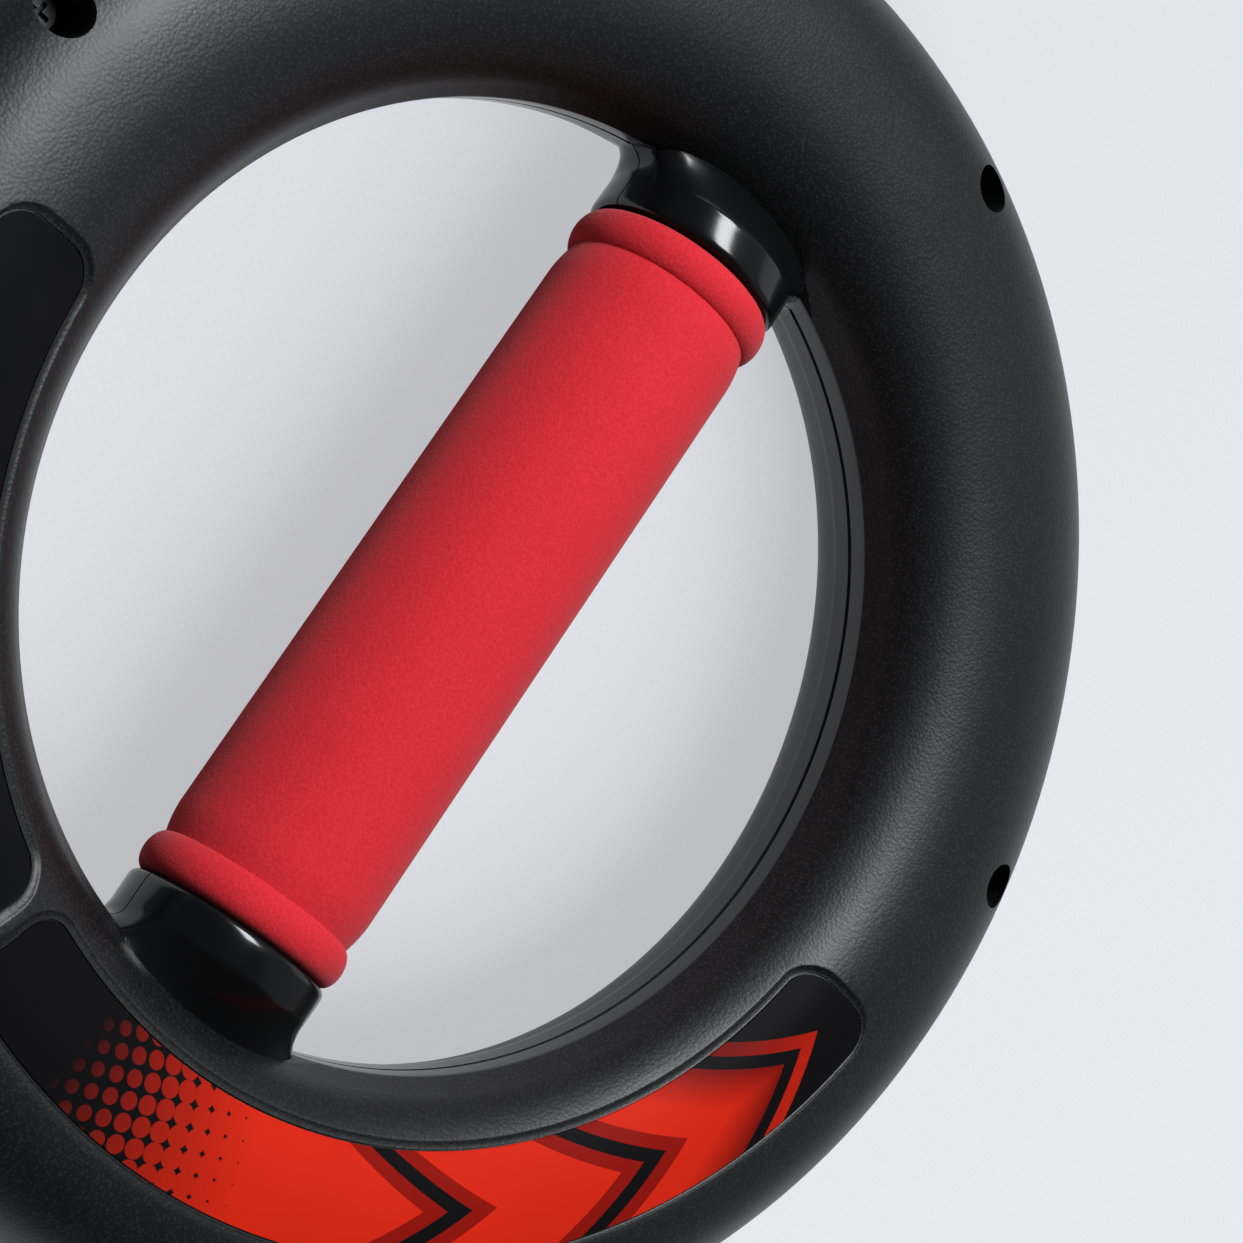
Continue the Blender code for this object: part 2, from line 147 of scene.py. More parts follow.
# Label print: angles in degrees round the ring, lengths along it
PRINT_RADIUS = 95.0 * MM
ARROW_RADIUS = 96.3 * MM
ARROW_SLOPE = 1.67
ARROW_TIPS = (216.6, 238.9)
LAST_ARROW_TIP = 257.0
ARROW_STRIPE = 4.5 * MM
LAST_ARROW_STRIPE = 4.2 * MM
DOT_PITCH = 3.25 * MM
DOT_TURN = 17.5
DOT_FADE = (168.0, 188.5)
DOT_GROWTH = (166.0, 190.5)
DOT_SIZES = (0.26, 0.72)
DOT_SOFTNESS = 0.02
PRINT_EDGE = 0.06 * MM
PRINT_WEAR = 0.16
DUSK_LENGTH = 3 * LAST_ARROW_STRIPE
DUSK_STRENGTH = 0.9
# The last arrow's red is painted darker towards the label's inner edge: painted shade.
LAST_ARROW_PAINTED_LIGHT = (0.1, 0.6)
LAST_ARROW_PAINTED_LIGHT_MARGIN = 2.0 * MM

# Tones as screen values from 0 to 255, and metals as linear colours
# The shell's paler tone marks specks on the pebble tops: partly grain, partly painted sparkle of highlights.
SHELL_AND_SPARKLE_TONES = ((11, 11, 12), (38, 38, 40))
POLISHED_TONE = (15, 15, 16)
PRINT_RED = (219, 41, 20)
PRINT_DARK_RED = (146, 21, 13)
PRINT_DEEP_RED = (104, 14, 10)
PRINT_BLACK = (17, 16, 17)
PLAIN_LABEL_TONES = ((14, 14, 15), (24, 24, 25))
FOAM_TONES = ((208, 32, 43), (228, 46, 56))
FOAM_BLOTCH_TONE = (180, 22, 32)
# The foam's tone as seen in reflections: painted darkening of its reflection in the black plastic.
FOAM_PAINTED_REFLECTION_TONE = (24, 20, 21)
PAINT_TONES = ((20, 20, 21), (46, 46, 48))
PLUG_TONES = ((40, 40, 41), (58, 58, 60))
TUBE_STEEL = (0.56, 0.56, 0.57)
BALL_STEEL = (0.70, 0.70, 0.72)
TARNISH = 0.75

# Finishes: grains per metre, roughness from and to, and reliefs as bump strength and depth
SHELL_GRAIN = 1700.0
SHELL_ROUGHNESS = (0.40, 0.48)
SHELL_RELIEF = (0.5, 0.06 * MM)
# Pebble heights that turn a speck pale: grain tone and painted sparkle of highlights.
PAINTED_SPARKLE_SPECKS = (0.55, 0.9)
POLISHED_ROUGHNESS = 0.17
LABEL_GRAIN = 900.0
LABEL_ROUGHNESS = (0.38, 0.52)
LABEL_RELIEF = (0.04, 0.1 * MM)
LABEL_SHINE = 0.03
FOAM_GRAIN = 1900.0
FOAM_PORES = (0.3, 0.7)
FOAM_BLOTCHING = 0.2
FOAM_ROUGHNESS = (0.82, 0.92)
FOAM_RELIEF = (0.5, 0.3 * MM)
FOAM_SHEEN = 0.1
FOAM_SHEEN_ROUGHNESS = 0.5
FOAM_SHINE = 0.25
TUBE_GRAIN = 700.0
TUBE_ROUGHNESS = (0.28, 0.42)
BALL_GRAIN = 400.0
BALL_ROUGHNESS = (0.08, 0.16)
PAINT_GRAIN = 900.0
PAINT_ROUGHNESS = (0.24, 0.38)
METAL_RELIEF = (0.08, 0.05 * MM)
PLUG_GRAIN = 1000.0
PLUG_ROUGHNESS = (0.42, 0.55)
PLUG_RELIEF = (0.2, 0.1 * MM)
GRAIN_DETAIL = 3.0
GRAIN_ROUGHNESS = 0.6
BLOTCHES = 60.0
BLOTCH_DETAIL = 4.0
BLOTCH_MIDDLE = (0.3, 0.7)
# Share of bright colours taken out of their reflections: painted darkening, seen by glossy rays only.
PAINTED_REFLECTION_DIMMING = 0.7

# Floor, with the share of its tone that no shadow darkens
FLOOR_SIZE = 12.0
FLOOR_TONES = ((0.74, 0.77, 0.82, 1.0), (0.82, 0.84, 0.88, 1.0))
FLOOR_ROUGHNESS = 0.8
FLOOR_GLOW = 0.58
FLOOR_GLOW_COLOUR = (0.86, 0.88, 0.92, 1.0)
WEAVE_TURNS = (35.0, 125.0)
WEAVE_SCALE = 210.0
WEAVE_DISTORTION = 0.3
WEAVE_RELIEF = (0.15, 0.1 * MM)

# Studio: the paler side of its walls, and each lamp's direction, distance, width, length and power
COOL_WHITE = (0.93, 0.96, 1.0)
PALE_SIDE = (0.58, -0.81, -0.09)
PALE_SIDE_EDGE = (0.05, 0.34)
STUDIO_STRENGTH = (0.04, 0.21)
LAMPS = {
    "key_softbox": ((0.487, 0.146, 0.861), 1.06, 0.30, 0.74, 13.8),
    "side_softbox": ((0.471, -0.838, 0.276), 1.5, 1.0, 1.0, 1.38),
    "floor_softbox": ((-0.283, -0.606, 0.743), 3.0, 3.6, 3.6, 140.0),
}

# Camera
CAMERA_PLACE = (-0.11487, 0.23157, 0.43929)
CAMERA_RIGHT = (0.53487, -0.63414, 0.55837)
CAMERA_UP = (0.80604, 0.58114, -0.11212)
CAMERA_LENS = 88.67
SENSOR_WIDTH = 36.0
CLIP_START = 0.01


# Modelling by hand

def start(name):
    """Name the primitive that was just added, which is the only object selected."""
    piece = bpy.context.object
    piece.name = name
    piece.data.name = name
    return piece


def deselect():
    bpy.ops.object.select_all(action="DESELECT")


def choose(piece):
    deselect()
    piece.select_set(True)
    bpy.context.view_layer.objects.active = piece


def close_up(piece, reach=MERGE_REACH):
    """Merge doubles, clear away slivers and point the faces outwards."""
    choose(piece)
    bpy.ops.object.mode_set(mode="EDIT")
    bpy.ops.mesh.select_all(action="SELECT")
    bpy.ops.mesh.remove_doubles(threshold=reach)
    bpy.ops.mesh.dissolve_degenerate(threshold=reach)
    bpy.ops.mesh.normals_make_consistent(inside=False)
    bpy.ops.object.mode_set(mode="OBJECT")


def turned(name, outline, steps):
    """Spin a closed outline of (radius, height) points round Z."""
    deselect()
    bpy.ops.mesh.primitive_circle_add(vertices=len(outline), radius=RING_RADIUS, fill_type="NOTHING")
    piece = start(name)
    for vertex, (radius, height) in zip(piece.data.vertices, outline):
        vertex.co = (radius, 0.0, height)
    bpy.ops.object.mode_set(mode="EDIT")
    bpy.ops.mesh.select_all(action="SELECT")
    bpy.ops.mesh.spin(steps=steps, angle=math.tau, center=(0, 0, 0), axis=(0, 0, 1))
    bpy.ops.object.mode_set(mode="OBJECT")
    close_up(piece)
    return piece


def shaped_grid(name, columns, rows, place):
    """A grid whose vertices are laid out by place(column, row)."""
    deselect()
    bpy.ops.mesh.primitive_grid_add(x_subdivisions=columns, y_subdivisions=rows, size=RING_RADIUS)
    piece = start(name)
    for number, vertex in enumerate(piece.data.vertices):
        vertex.co = place(number % (columns + 1), number // (columns + 1))
    return piece


def move_mesh(piece, matrix):
    piece.data.transform(matrix)
    return piece


def join(pieces, name):
    deselect()
    for piece in pieces:
        piece.select_set(True)
    bpy.context.view_layer.objects.active = pieces[0]
    if len(pieces) > 1:
        bpy.ops.object.join()
    pieces[0].name = name
    close_up(pieces[0])
    return pieces[0]


def carve(piece, tools, operation="DIFFERENCE"):
    """Apply one Boolean with all the tools, then put the tools away."""
    choose(piece)
    group = bpy.data.collections.new("tools")
    bpy.context.scene.collection.children.link(group)
    for tool in tools:
        group.objects.link(tool)
    modifier = piece.modifiers.new("carve", "BOOLEAN")
    modifier.operation = operation
    modifier.solver = "EXACT"
    modifier.operand_type = "COLLECTION"
    modifier.collection = group
    bpy.ops.object.modifier_apply(modifier=modifier.name)
    for tool in tools:
        bpy.data.objects.remove(tool)
    bpy.data.collections.remove(group)


def smooth(piece):
    choose(piece)
    bpy.ops.object.shade_smooth_by_angle(angle=math.radians(SMOOTH_ANGLE))


# Ring section

def signed_power(value, power):
    return math.copysign(abs(value) ** power, value)


def crest_height(radius):
    """Height of the ring's front surface above its middle plane."""
    share = min(1.0, abs(radius - SECTION_RADIUS) / SECTION_HALF_WIDTH)
    return SECTION_HALF_HEIGHT * (1 - share ** SECTION_FULLNESS) ** (1 / SECTION_FULLNESS)


def hole_radius_at(height):
    """Radius of the hole's wall at a height from the middle plane."""
    share = min(1.0, abs(height) / SECTION_HALF_HEIGHT)
    return SECTION_RADIUS - SECTION_HALF_WIDTH * (1 - share ** SECTION_FULLNESS) ** (1 / SECTION_FULLNESS)


def oval_points(steps, inset=0.0):
    points = []
    for step in range(steps):
        turn = math.tau * step / steps
        across = signed_power(math.cos(turn), 2 / SECTION_FULLNESS) * (SECTION_HALF_WIDTH - inset)
        upward = signed_power(math.sin(turn), 2 / SECTION_FULLNESS) * (SECTION_HALF_HEIGHT - inset)
        points.append((SECTION_RADIUS + across, max(upward, inset - MID_HEIGHT)))
    return points


def bent(first, corner, last, steps):
    """Points of a curve that leaves first towards the corner and arrives at last from it."""
    first, corner, last = Vector(first), Vector(corner), Vector(last)
    shares = [step / steps for step in range(steps + 1)]
    return [tuple(first * (1 - share) ** 2 + corner * 2 * share * (1 - share) + last * share ** 2)
            for share in shares]


def seam_points(radius, side):
    """Small V on both sides of the parting line, on the outer (1) or the hole side (-1)."""
    edge, root = SEAM_HALF_WIDTH, PARTING_GAP / 3
    return [(radius, PARTING_RISE + edge), (radius - side * SEAM_DEPTH, PARTING_RISE + root),
            (radius - side * SEAM_DEPTH, PARTING_RISE - root), (radius, PARTING_RISE - edge)]


def ring_outline():
    """Oval section with the band at the hole, the seam's V grooves and the flat that it rests on."""
    points = []
    reach = BAND_CHAMFER + BAND_EDGE
    for radius, height in oval_points(SECTION_STEPS):
        at_band = radius < SECTION_RADIUS and BAND_BOTTOM - reach < height < BAND_TOP + reach
        at_seam = radius > SECTION_RADIUS and abs(height - PARTING_RISE) < 2 * SEAM_HALF_WIDTH
        if not at_band and not at_seam:
            points.append((radius, height))
    points += seam_points(RING_RADIUS, 1) + seam_points(BAND_RADIUS, -1)
    for height, outward in ((BAND_TOP, 1), (BAND_BOTTOM, -1)):
        corner = Vector((BAND_RADIUS, height))
        brim_height = height + outward * BAND_CHAMFER
        brim = Vector((hole_radius_at(brim_height), brim_height))
        edge_start = corner - Vector((0, outward * BAND_EDGE))
        points += bent(edge_start, corner, corner.lerp(brim, BAND_EDGE / BAND_CHAMFER), BAND_EDGE_STEPS)
        points.append(tuple(brim))
    points.sort(key=lambda point: math.atan2(point[1], point[0] - SECTION_RADIUS))
    return [(radius, MID_HEIGHT + height) for radius, height in points]


# Tools that shape the shells

def along_handle(side):
    return Matrix.Translation((0, 0, MID_HEIGHT)) @ Matrix.Rotation(side * math.pi / 2, 4, "Y")


def landing_radius(around):
    """Distance from the handle's axis to the line where a collar's slope meets the ring's wall."""
    share = (abs(math.cos(around)) / LANDING_HALF_WIDTH) ** LANDING_FULLNESS
    share += (abs(math.sin(around)) / LANDING_HALF_HEIGHT) ** LANDING_FULLNESS
    return share ** (-1 / LANDING_FULLNESS)


def wall_distance(radius, around):
    """Distance along the handle to the hole's wall."""
    return math.sqrt(hole_radius_at(radius * math.sin(around)) ** 2 - (radius * math.cos(around)) ** 2)


def collar_profile(around):
    """Points (distance along the handle, radius) of a collar on one line of its length, from axis to axis.

    Above and below the handle the rim's back slopes down to the wall. At its sides it flares out.
    """
    radius = landing_radius(around)
    sink = LANDING_SINK + FLARE_SINK * math.cos(around) ** 2
    landing = Vector((wall_distance(radius, around) + sink, radius))
    front_corner = (COLLAR_FACE, COLLAR_RADIUS)
    front_edge = (COLLAR_FACE + COLLAR_EDGE, COLLAR_RADIUS)
    back_edge = Vector((COLLAR_BACK, COLLAR_RADIUS - RIM_SAG * math.sin(around) ** 2))
    flare = min(1.0, max(0.0, (radius - COLLAR_RADIUS) / (LANDING_HALF_WIDTH - COLLAR_RADIUS)))
    bend = ((back_edge + landing) / 2).lerp(Vector((landing[0] - LANDING_SINK, COLLAR_RADIUS)), flare)
    rim_end = back_edge - Vector((RIM_ROUNDING, 0))
    slope_start = back_edge + (bend - back_edge).normalized() * RIM_ROUNDING
    points = [(COLLAR_FACE, 0.0)]
    points += bent((COLLAR_FACE, COLLAR_RADIUS - COLLAR_EDGE), front_corner, front_edge, BEVEL_STEPS)
    points += bent(front_edge, ((front_edge[0] + rim_end[0]) / 2, COLLAR_RADIUS), rim_end, RIM_STEPS)[1:]
    points += bent(rim_end, back_edge, slope_start, RIM_STEPS)[1:]
    points += bent(slope_start, bend, landing, SLOPE_STEPS)[1:]
    points += [(landing[0] + WALL, landing[1] - WALL / 2), (SECTION_RADIUS, 0.0)]
    return points


def collar_tool(side):
    """Collar with its slope into the ring's wall, as one solid."""
    profiles = [collar_profile(math.tau * step / COLLAR_STEPS) for step in range(COLLAR_STEPS)]

    def place(column, row):
        distance, radius = profiles[column % COLLAR_STEPS][row]
        turn = math.tau * column / COLLAR_STEPS
        return (side * distance, side * radius * math.cos(turn), MID_HEIGHT + radius * math.sin(turn))

    collar = shaped_grid("collar", COLLAR_STEPS, len(profiles[0]) - 1, place)
    close_up(collar)
    return collar


def race_tool(wall_radius, outside):
    """Hollow on one side of the guide wall."""
    side = 1 if outside else -1
    oval = oval_points(RACE_SECTION_STEPS, WALL)
    points = [point for point in oval if side * (point[0] - wall_radius) > SEAT_GAP]
    share = abs(wall_radius - SECTION_RADIUS) / (SECTION_HALF_WIDTH - WALL)
    rise = (SECTION_HALF_HEIGHT - WALL) * (1 - share ** SECTION_FULLNESS) ** (1 / SECTION_FULLNESS)
    points += [(wall_radius, rise), (wall_radius, max(-rise, WALL - MID_HEIGHT))]
    middle = sum(point[0] for point in points) / len(points)
    points.sort(key=lambda point: math.atan2(point[1], point[0] - middle))
    return turned("race", [(radius, MID_HEIGHT + height) for radius, height in points], RACE_STEPS)


def rods(name, radius, low, high):
    """One upright rod at each screw."""
    made = []
    for angle in SCREW_ANGLES:
        deselect()
        bpy.ops.mesh.primitive_cylinder_add(vertices=HOLE_STEPS, radius=radius, depth=high - low)
        turn = math.radians(angle)
        place = (SCREW_CIRCLE * math.cos(turn), SCREW_CIRCLE * math.sin(turn), (low + high) / 2)
        made.append(move_mesh(start(name), Matrix.Translation(place)))
    return join(made, name)


def screw_race_tool(boss_radius):
    """Hollow outside the guide wall, with the screw bosses left standing in it."""
    hollow = race_tool(GUIDE_OUTER_RADIUS, True)
    carve(hollow, [rods("bosses", boss_radius, -FAR, FAR)])
    return hollow


def socket_tools():
    """Bores for the tube's ends, widened for the plugs' flanges."""
    bore = TUBE_RADIUS + SEAT_GAP
    groove = FLANGE_RADIUS + SEAT_GAP
    near, far = FLANGE_NEAR - SEAT_GAP, FLANGE_FAR + SEAT_GAP
    made = []
    for side in (1, -1):
        for radius, low, high in ((bore, GRIP_END, far), (groove, near, far)):
            deselect()
            bpy.ops.mesh.primitive_cylinder_add(vertices=HOLE_STEPS, radius=radius, depth=high - low)
            move_mesh(start("socket"), along_handle(side) @ Matrix.Translation((0, 0, (low + high) / 2)))
            made.append(bpy.context.object)
    return made


# Labels and their pockets

def label_stations(span, margin):
    """Angles along a label with its inner and outer radius at each, rounded at the corners."""
    inner = LABEL_INNER + margin
    outer = LABEL_OUTER - max(margin, OUTER_LIP_SHARE * margin)
    middle = (LABEL_INNER + LABEL_OUTER) / 2
    corner = LABEL_CORNER - margin
    length = math.radians(span[1] - span[0]) * middle
    near_end = [margin + corner * (1 - math.cos(math.pi / 2 * step / CORNER_STEPS))
                for step in range(CORNER_STEPS + 1)]
    inside = length - 2 * near_end[-1]
    count = round((length - 2 * LABEL_CORNER) / LABEL_STEP)
    along = near_end + [near_end[-1] + inside * step / count for step in range(1, count)]
    along += [length - distance for distance in reversed(near_end)]
    stations = []
    for distance in along:
        short = max(0.0, corner + margin - min(distance, length - distance))
        draw_in = corner - math.sqrt(max(0.0, corner ** 2 - short ** 2))
        stations.append((math.radians(span[0]) + distance / middle, inner + draw_in, outer - draw_in))
    return stations


def on_front(radius, angle, offset):
    """Place on the ring's front, or under it, where depths lessen towards the label's outer edge."""
    outward = min(1.0, max(0.0, (radius - LABEL_INNER) / (LABEL_OUTER - LABEL_INNER)))
    if offset < 0:
        offset *= 1 - POCKET_FLATTENING * outward
    return (radius * math.cos(angle), radius * math.sin(angle), MID_HEIGHT + crest_height(radius) + offset)


def label_sheet(name, span, margin, offset):
    """A sheet of the label's shape that follows the ring's front at an offset from it."""
    stations = label_stations(span, margin)

    def place(column, row):
        angle, inner, outer = stations[row]
        return on_front(inner + (outer - inner) * column / LABEL_ROWS, angle, offset)

    return shaped_grid(name, LABEL_ROWS, len(stations) - 1, place)


def label_rim(span, margin, offset):
    """The points round the edge of that sheet."""
    stations = label_stations(span, margin)
    across = range(LABEL_ROWS)
    angle, inner, outer = stations[0]
    rim = [on_front(inner + (outer - inner) * step / LABEL_ROWS, angle, offset) for step in across]
    rim += [on_front(outer, angle, offset) for angle, inner, outer in stations[:-1]]
    angle, inner, outer = stations[-1]
    rim += [on_front(outer + (inner - outer) * step / LABEL_ROWS, angle, offset) for step in across]
    rim += [on_front(inner, angle, offset) for angle, inner, outer in reversed(stations[1:])]
    return rim


def pocket_tool(span):
    """Block that sinks a label's pocket: a ledge round the label, a chamfer and a rounded edge."""
    face = LABEL_THICKNESS - POCKET_DEPTH
    layers = [(0.0, -POCKET_DEPTH), (0.0, face), (-LEDGE_WIDTH, face + LEDGE_RISE)]
    chamfer_end = -LEDGE_WIDTH - CHAMFER_WIDTH
    drop = POCKET_LIP * (LEDGE_RISE - face) / CHAMFER_WIDTH
    rounding_start, rounding_end = (chamfer_end + POCKET_LIP, -drop), (chamfer_end - POCKET_LIP, 0.0)
    rounding = bent(rounding_start, (chamfer_end, 0.0), rounding_end, BEVEL_STEPS)
    layers += rounding
    layers.append((rounding[-1][0] - POCKET_LIP, POCKET_LIP))
    rims = [label_rim(span, margin, offset) for margin, offset in layers]
    count = len(rims[0])
    walls = shaped_grid("walls", count, len(rims) - 1, lambda column, row: rims[row][column % count])
    ends = [label_sheet("floor", span, *layers[0]), label_sheet("lid", span, *layers[-1])]
    return join([walls] + ends, "pocket")


# Pieces

def half_ring(whole, name, front):
    """Copy of the whole ring with everything on one side of the parting line cut away."""
    choose(whole)
    bpy.ops.object.duplicate()
    half = start(name)
    level = PARTING_HEIGHT + (PARTING_GAP if front else -PARTING_GAP) / 2
    bpy.ops.object.mode_set(mode="EDIT")
    bpy.ops.mesh.select_all(action="SELECT")
    bpy.ops.mesh.bisect(plane_co=(0, 0, level), plane_no=(0, 0, 1), use_fill=True,
                        clear_inner=front, clear_outer=not front)
    bpy.ops.object.mode_set(mode="OBJECT")
    close_up(half)
    return half


def make_shells():
    """Front and back shell: the ring with its collars, parted and hollowed."""
    whole = turned("ring", ring_outline(), RING_STEPS)
    carve(whole, [collar_tool(1), collar_tool(-1)], "UNION")
    shells = {}
    for name in ("front_shell", "back_shell"):
        front = name == "front_shell"
        shell = half_ring(whole, name + "_moulding", front)
        tools = [race_tool(GUIDE_INNER_RADIUS, False)] + socket_tools()
        tools.append(screw_race_tool(BOSS_RADIUS if front else PILOT_BOSS_RADIUS))
        if front:
            tools.append(rods("counterbores", COUNTERBORE_RADIUS, HEAD_SEAT, FAR))
            tools.append(rods("pilots", PILOT_RADIUS, -FAR, FAR))
            tools += [pocket_tool(span) for span in LABEL_SPANS.values()]
        else:
            tools.append(rods("pilots", PILOT_RADIUS, PILOT_END, FAR))
        carve(shell, tools)
        close_up(shell, SLIVER)
        smooth(shell)
        shells[name] = shell
    bpy.data.objects.remove(whole)
    return shells


def make_label(name):
    """Thin printed plate on the floor of its pocket."""
    label = label_sheet(name + "_plate", LABEL_SPANS[name], SEAT_GAP, LABEL_FLOAT - POCKET_DEPTH)
    choose(label)
    bpy.ops.object.mode_set(mode="EDIT")
    bpy.ops.mesh.select_all(action="SELECT")
    bpy.ops.mesh.normals_make_consistent(inside=False)
    bpy.ops.mesh.extrude_region_move(TRANSFORM_OT_translate={"value": (0, 0, LABEL_THICKNESS)})
    bpy.ops.object.mode_set(mode="OBJECT")
    close_up(label)
    smooth(label)
    return label


def make_grip():
    """Foam sleeve with a round bead at each end, turned about the handle's axis."""
    half = GRIP_BEAD_WIDTH / 2
    bead_middle = GRIP_END - half
    upper = [(GRIP_BODY_RADIUS, 0.0)]
    taper_start = GRIP_END - GRIP_BEAD_WIDTH - GRIP_TAPER_LENGTH
    for step in range(BEAD_STEPS):
        share = step / BEAD_STEPS
        drop = (GRIP_BODY_RADIUS - GRIP_NECK_RADIUS) * share ** 2
        upper.append((GRIP_BODY_RADIUS - drop, taper_start + GRIP_TAPER_LENGTH * share))
    for step in range(BEAD_STEPS + 1):
        turn = math.pi * step / BEAD_STEPS
        inner_side = 2 * step < BEAD_STEPS
        bulge = max(0.0, math.sin(turn)) ** (BEAD_INNER_FULLNESS if inner_side else BEAD_FULLNESS)
        root = GRIP_NECK_RADIUS if inner_side else GRIP_LIP_RADIUS
        upper.append((root + (GRIP_BEAD_RADIUS - root) * bulge, bead_middle - half * math.cos(turn)))
    bore = TUBE_RADIUS + SEAT_GAP
    outline = list(reversed(upper)) + [(radius, -distance) for radius, distance in upper[1:]]
    outline += [(bore, -GRIP_END), (bore, GRIP_END)]
    grip = turned("foam_sleeve", outline, GRIP_STEPS)
    move_mesh(grip, along_handle(1))
    smooth(grip)
    return grip


# Materials

def colour(red, green, blue):
    """Linear colour from 0-255 screen values."""
    linear = [(value / 255 / 12.92 if value < 11 else ((value / 255 + 0.055) / 1.055) ** 2.4)
              for value in (red, green, blue)]
    return (*linear, 1.0)


def new_node(tree, kind, **settings):
    node = tree.nodes.new(kind)
    for key, value in settings.items():
        setattr(node, key, value)
    return node


def feed(tree, socket, value):
    """Link a socket to another one, or set its number."""
    if isinstance(value, bpy.types.NodeSocket):
        tree.links.new(value, socket)
    else:
        socket.default_value = value


def calc(tree, operation, first, second=0.0, third=None):
    node = new_node(tree, "ShaderNodeMath", operation=operation)
    feed(tree, node.inputs[0], first)
    feed(tree, node.inputs[1], second)
    if third is not None:
        feed(tree, node.inputs[2], third)
    return node.outputs[0]


def ramp(tree, value, low, high, start_value=0.0, end_value=1.0):
    """Straight change from one value to another as the input goes from low to high."""
    node = new_node(tree, "ShaderNodeMapRange")
    node.inputs["From Min"].default_value = low
    node.inputs["From Max"].default_value = high
    node.inputs["To Min"].default_value = start_value
    node.inputs["To Max"].default_value = end_value
    feed(tree, node.inputs["Value"], value)
    return node.outputs["Result"]


def blend_colour(tree, share, first, second):
    node = new_node(tree, "ShaderNodeMix", data_type="RGBA")
    feed(tree, node.inputs["Factor"], share)
    feed(tree, node.inputs["A"], first)
    feed(tree, node.inputs["B"], second)
    return node.outputs["Result"]


def noise(tree, place, scale, detail, roughness=0.5):
    node = new_node(tree, "ShaderNodeTexNoise")
    feed(tree, node.inputs["Vector"], place)
    feed(tree, node.inputs["Scale"], scale)
    node.inputs["Detail"].default_value = detail
    node.inputs["Roughness"].default_value = roughness
    return node.outputs["Fac"]


def new_group(name, inputs, outputs):
    group = bpy.data.node_groups.new(name, "ShaderNodeTree")
    for socket, kind in inputs:
        group.interface.new_socket(socket, in_out="INPUT", socket_type=kind)
    for socket, kind in outputs:
        group.interface.new_socket(socket, in_out="OUTPUT", socket_type=kind)
    return group, group.nodes.new("NodeGroupInput").outputs, group.nodes.new("NodeGroupOutput").inputs


def grain_group():
    """Fine moulded or foamed grain: a height for bump, round pebbles and a soft blotch for tone."""
    group, given, result = new_group(
        "surface_grain",
        [("Place", "NodeSocketVector"), ("Grain per metre", "NodeSocketFloat")],
        [("Height", "NodeSocketFloat"), ("Pebbles", "NodeSocketFloat"), ("Blotch", "NodeSocketFloat")])
    height = noise(group, given["Place"], given["Grain per metre"], GRAIN_DETAIL, GRAIN_ROUGHNESS)
    feed(group, result["Height"], height)
    cells = new_node(group, "ShaderNodeTexVoronoi")
    feed(group, cells.inputs["Vector"], given["Place"])
    feed(group, cells.inputs["Scale"], given["Grain per metre"])
    feed(group, result["Pebbles"], calc(group, "SUBTRACT", 1.0, cells.outputs["Distance"]))
    feed(group, result["Blotch"], noise(group, given["Place"], BLOTCHES, BLOTCH_DETAIL))
    return group


def new_material(name):
    material = bpy.data.materials.new(name)
    material.use_nodes = True
    tree = material.node_tree
    place = new_node(tree, "ShaderNodeTexCoord").outputs["Object"]
    return material, tree, tree.nodes["Principled BSDF"], place


def use_grain(tree, group, place, fineness):
    node = new_node(tree, "ShaderNodeGroup", node_tree=group)
    feed(tree, node.inputs["Place"], place)
    node.inputs["Grain per metre"].default_value = fineness
    return node.outputs


def bump(tree, shader, height, strength, distance):
    node = new_node(tree, "ShaderNodeBump")
    feed(tree, node.inputs["Strength"], strength)
    node.inputs["Distance"].default_value = distance
    feed(tree, node.inputs["Height"], height)
    tree.links.new(node.outputs["Normal"], shader.inputs["Normal"])


def painted_reflection_dimming(tree):
    """Share of a bright colour taken out where glossy rays see it: painted darkening of its reflections in
    the black plastic.
    """
    return calc(tree, "MULTIPLY", new_node(tree, "ShaderNodeLightPath").outputs["Is Glossy Ray"], PAINTED_REFLECTION_DIMMING)


def round_ring(tree, place):
    """Split a place into x, y, z, the distance from the ring's axis and the angle from -X."""
    parts = new_node(tree, "ShaderNodeSeparateXYZ")
    feed(tree, parts.inputs[0], place)
    x, y, z = parts.outputs
    squares = [calc(tree, "MULTIPLY", part, part) for part in (x, y)]
    radius = calc(tree, "SQRT", calc(tree, "ADD", *squares))
    angle = calc(tree, "ARCTAN2", calc(tree, "MULTIPLY", y, -1.0), calc(tree, "MULTIPLY", x, -1.0))
    return x, y, z, radius, angle


